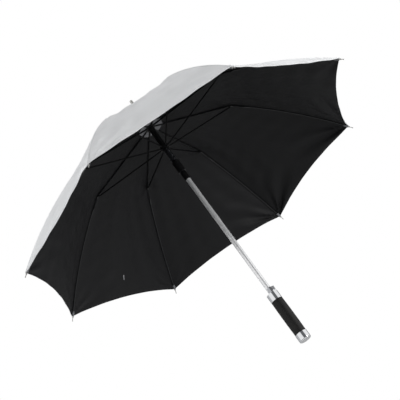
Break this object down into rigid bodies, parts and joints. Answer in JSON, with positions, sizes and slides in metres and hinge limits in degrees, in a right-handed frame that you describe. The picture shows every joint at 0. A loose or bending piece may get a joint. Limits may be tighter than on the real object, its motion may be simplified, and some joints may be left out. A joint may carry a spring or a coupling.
{
  "type": "stick umbrella",
  "caption": "Silver-coated stick umbrella with a black inside, a straight grip with a release button, and ribs that fold with the runner.",
  "frame": {"origin": "centre of the handle's end face", "axes": "+Z along the shaft to the ferrule, +X over rib 1"},
  "size_m": [1.0978, 1.0978, 0.889],
  "materials": {
    "aluminium_tube": "bright anodised",
    "chrome": "polished plating",
    "black_abs": "moulded, satin",
    "grip_foam": "soft, matt",
    "spring_steel": "bright wire",
    "black_steel": "black enamel",
    "fibreglass": "pultruded, smooth",
    "nickel_tip": "nickel plated",
    "silver_cloth": "silver coated outside, black inside",
    "grey_cloth": "plain weave",
    "plated_steel": "nickel plated"
  },
  "bodies": {
    "frame": {"shaft": "aluminium_tube", "grip_core": "black_abs", "grip": "grip_foam", "end_cap": "chrome", "collar": "chrome", "crown": "black_abs", "crown_wire": "spring_steel", "stop_sleeve": "black_abs", "rosette": "grey_cloth", "top_washer": "plated_steel", "ferrule": "plated_steel", "button_spring": "spring_steel"},
    "runner": {"runner_tube": "black_steel", "runner_hub": "black_abs", "runner_wire": "spring_steel", "runner_spring": "spring_steel", "slider": "black_abs", "catch_ring": "black_abs"},
    "button": {"button": "black_abs"},
    "rib_1": {"rib_inner_1": "black_steel"},
    "outer_1": {"rib_outer_1": "fibreglass", "rib_tip_1": "nickel_tip", "canopy_1": "silver_cloth"},
    "stretcher_1": {"stretcher_1": "black_steel"},
    "rib_2": {"rib_inner_2": "black_steel"},
    "outer_2": {"rib_outer_2": "fibreglass", "rib_tip_2": "nickel_tip", "canopy_2": "silver_cloth"},
    "stretcher_2": {"stretcher_2": "black_steel"},
    "rib_3": {"rib_inner_3": "black_steel"},
    "outer_3": {"rib_outer_3": "fibreglass", "rib_tip_3": "nickel_tip", "canopy_3": "silver_cloth"},
    "stretcher_3": {"stretcher_3": "black_steel"},
    "rib_4": {"rib_inner_4": "black_steel"},
    "outer_4": {"rib_outer_4": "fibreglass", "rib_tip_4": "nickel_tip", "canopy_4": "silver_cloth"},
    "stretcher_4": {"stretcher_4": "black_steel"},
    "rib_5": {"rib_inner_5": "black_steel"},
    "outer_5": {"rib_outer_5": "fibreglass", "rib_tip_5": "nickel_tip", "canopy_5": "silver_cloth"},
    "stretcher_5": {"stretcher_5": "black_steel"},
    "rib_6": {"rib_inner_6": "black_steel"},
    "outer_6": {"rib_outer_6": "fibreglass", "rib_tip_6": "nickel_tip", "canopy_6": "silver_cloth"},
    "stretcher_6": {"stretcher_6": "black_steel"},
    "rib_7": {"rib_inner_7": "black_steel"},
    "outer_7": {"rib_outer_7": "fibreglass", "rib_tip_7": "nickel_tip", "canopy_7": "silver_cloth", "tie_strap": "silver_cloth"},
    "stretcher_7": {"stretcher_7": "black_steel"},
    "rib_8": {"rib_inner_8": "black_steel"},
    "outer_8": {"rib_outer_8": "fibreglass", "rib_tip_8": "nickel_tip", "canopy_8": "silver_cloth"},
    "stretcher_8": {"stretcher_8": "black_steel"}
  },
  "joints": [
    {"name": "runner_slide", "type": "slide", "parent": "frame", "child": "runner", "axis": [0, 0, -1], "range_m": [0, 0.40533], "stiffness_N_per_m": 60, "springref_m": -0.15},
    {"name": "button_press", "type": "slide", "parent": "frame", "child": "button", "axis": [-0.5299, -0.848, 0], "range_m": [0, 0.002], "stiffness_N_per_m": 400, "deforming": ["button_spring"]},
    {"name": "rib_fold_1", "type": "hinge", "parent": "frame", "child": "rib_1", "pos_m": [0.013, 0, 0.777], "axis": [0, 1, 0], "range_deg": [0, 77.7]},
    {"name": "outer_flex_1", "type": "hinge", "parent": "rib_1", "child": "outer_1", "pos_m": [0.25829, 0, 0.74072], "axis": [0, 1, 0], "range_deg": [-26.8, 0], "deforming": ["canopy_1"]},
    {"name": "stretcher_fold_1", "type": "hinge", "parent": "rib_1", "child": "stretcher_1", "pos_m": [0.25269, 0, 0.737], "axis": [0, 1, 0], "range_deg": [-155.3, 0]},
    {"name": "rib_fold_2", "type": "hinge", "parent": "frame", "child": "rib_2", "pos_m": [0.00919, 0.00919, 0.777], "axis": [-0.7071, 0.7071, 0], "range_deg": [0, 77.7]},
    {"name": "outer_flex_2", "type": "hinge", "parent": "rib_2", "child": "outer_2", "pos_m": [0.18264, 0.18264, 0.74072], "axis": [-0.7071, 0.7071, 0], "range_deg": [-26.8, 0], "deforming": ["canopy_2"]},
    {"name": "stretcher_fold_2", "type": "hinge", "parent": "rib_2", "child": "stretcher_2", "pos_m": [0.17868, 0.17868, 0.737], "axis": [-0.7071, 0.7071, 0], "range_deg": [-155.3, 0]},
    {"name": "rib_fold_3", "type": "hinge", "parent": "frame", "child": "rib_3", "pos_m": [0, 0.013, 0.777], "axis": [-1, 0, 0], "range_deg": [0, 77.7]},
    {"name": "outer_flex_3", "type": "hinge", "parent": "rib_3", "child": "outer_3", "pos_m": [0, 0.25829, 0.74072], "axis": [-1, 0, 0], "range_deg": [-26.8, 0], "deforming": ["canopy_3"]},
    {"name": "stretcher_fold_3", "type": "hinge", "parent": "rib_3", "child": "stretcher_3", "pos_m": [0, 0.25269, 0.737], "axis": [-1, 0, 0], "range_deg": [-155.3, 0]},
    {"name": "rib_fold_4", "type": "hinge", "parent": "frame", "child": "rib_4", "pos_m": [-0.00919, 0.00919, 0.777], "axis": [-0.7071, -0.7071, 0], "range_deg": [0, 77.7]},
    {"name": "outer_flex_4", "type": "hinge", "parent": "rib_4", "child": "outer_4", "pos_m": [-0.18264, 0.18264, 0.74072], "axis": [-0.7071, -0.7071, 0], "range_deg": [-26.8, 0], "deforming": ["canopy_4"]},
    {"name": "stretcher_fold_4", "type": "hinge", "parent": "rib_4", "child": "stretcher_4", "pos_m": [-0.17868, 0.17868, 0.737], "axis": [-0.7071, -0.7071, 0], "range_deg": [-155.3, 0]},
    {"name": "rib_fold_5", "type": "hinge", "parent": "frame", "child": "rib_5", "pos_m": [-0.013, 0, 0.777], "axis": [0, -1, 0], "range_deg": [0, 77.7]},
    {"name": "outer_flex_5", "type": "hinge", "parent": "rib_5", "child": "outer_5", "pos_m": [-0.25829, 0, 0.74072], "axis": [0, -1, 0], "range_deg": [-26.8, 0], "deforming": ["canopy_5"]},
    {"name": "stretcher_fold_5", "type": "hinge", "parent": "rib_5", "child": "stretcher_5", "pos_m": [-0.25269, 0, 0.737], "axis": [0, -1, 0], "range_deg": [-155.3, 0]},
    {"name": "rib_fold_6", "type": "hinge", "parent": "frame", "child": "rib_6", "pos_m": [-0.00919, -0.00919, 0.777], "axis": [0.7071, -0.7071, 0], "range_deg": [0, 77.7]},
    {"name": "outer_flex_6", "type": "hinge", "parent": "rib_6", "child": "outer_6", "pos_m": [-0.18264, -0.18264, 0.74072], "axis": [0.7071, -0.7071, 0], "range_deg": [-26.8, 0], "deforming": ["canopy_6"]},
    {"name": "stretcher_fold_6", "type": "hinge", "parent": "rib_6", "child": "stretcher_6", "pos_m": [-0.17868, -0.17868, 0.737], "axis": [0.7071, -0.7071, 0], "range_deg": [-155.3, 0]},
    {"name": "rib_fold_7", "type": "hinge", "parent": "frame", "child": "rib_7", "pos_m": [0, -0.013, 0.777], "axis": [1, 0, 0], "range_deg": [0, 77.7]},
    {"name": "outer_flex_7", "type": "hinge", "parent": "rib_7", "child": "outer_7", "pos_m": [0, -0.25829, 0.74072], "axis": [1, 0, 0], "range_deg": [-26.8, 0], "deforming": ["canopy_7", "tie_strap"]},
    {"name": "stretcher_fold_7", "type": "hinge", "parent": "rib_7", "child": "stretcher_7", "pos_m": [0, -0.25269, 0.737], "axis": [1, 0, 0], "range_deg": [-155.3, 0]},
    {"name": "rib_fold_8", "type": "hinge", "parent": "frame", "child": "rib_8", "pos_m": [0.00919, -0.00919, 0.777], "axis": [0.7071, 0.7071, 0], "range_deg": [0, 77.7]},
    {"name": "outer_flex_8", "type": "hinge", "parent": "rib_8", "child": "outer_8", "pos_m": [0.18264, -0.18264, 0.74072], "axis": [0.7071, 0.7071, 0], "range_deg": [-26.8, 0], "deforming": ["canopy_8"]},
    {"name": "stretcher_fold_8", "type": "hinge", "parent": "rib_8", "child": "stretcher_8", "pos_m": [0.17868, -0.17868, 0.737], "axis": [0.7071, 0.7071, 0], "range_deg": [-155.3, 0]}
  ],
  "couplings": [
    {"joint": "rib_fold_1", "follows": "runner_slide", "rad_per_m": 3.3382},
    {"joint": "outer_flex_1", "follows": "runner_slide", "rad_per_m": -1.1497},
    {"joint": "stretcher_fold_1", "follows": "runner_slide", "rad_per_m": -6.6763},
    {"joint": "rib_fold_2", "follows": "runner_slide", "rad_per_m": 3.3382},
    {"joint": "outer_flex_2", "follows": "runner_slide", "rad_per_m": -1.1497},
    {"joint": "stretcher_fold_2", "follows": "runner_slide", "rad_per_m": -6.6763},
    {"joint": "rib_fold_3", "follows": "runner_slide", "rad_per_m": 3.3382},
    {"joint": "outer_flex_3", "follows": "runner_slide", "rad_per_m": -1.1497},
    {"joint": "stretcher_fold_3", "follows": "runner_slide", "rad_per_m": -6.6763},
    {"joint": "rib_fold_4", "follows": "runner_slide", "rad_per_m": 3.3382},
    {"joint": "outer_flex_4", "follows": "runner_slide", "rad_per_m": -1.1497},
    {"joint": "stretcher_fold_4", "follows": "runner_slide", "rad_per_m": -6.6763},
    {"joint": "rib_fold_5", "follows": "runner_slide", "rad_per_m": 3.3382},
    {"joint": "outer_flex_5", "follows": "runner_slide", "rad_per_m": -1.1497},
    {"joint": "stretcher_fold_5", "follows": "runner_slide", "rad_per_m": -6.6763},
    {"joint": "rib_fold_6", "follows": "runner_slide", "rad_per_m": 3.3382},
    {"joint": "outer_flex_6", "follows": "runner_slide", "rad_per_m": -1.1497},
    {"joint": "stretcher_fold_6", "follows": "runner_slide", "rad_per_m": -6.6763},
    {"joint": "rib_fold_7", "follows": "runner_slide", "rad_per_m": 3.3382},
    {"joint": "outer_flex_7", "follows": "runner_slide", "rad_per_m": -1.1497},
    {"joint": "stretcher_fold_7", "follows": "runner_slide", "rad_per_m": -6.6763},
    {"joint": "rib_fold_8", "follows": "runner_slide", "rad_per_m": 3.3382},
    {"joint": "outer_flex_8", "follows": "runner_slide", "rad_per_m": -1.1497},
    {"joint": "stretcher_fold_8", "follows": "runner_slide", "rad_per_m": -6.6763}
  ]
}
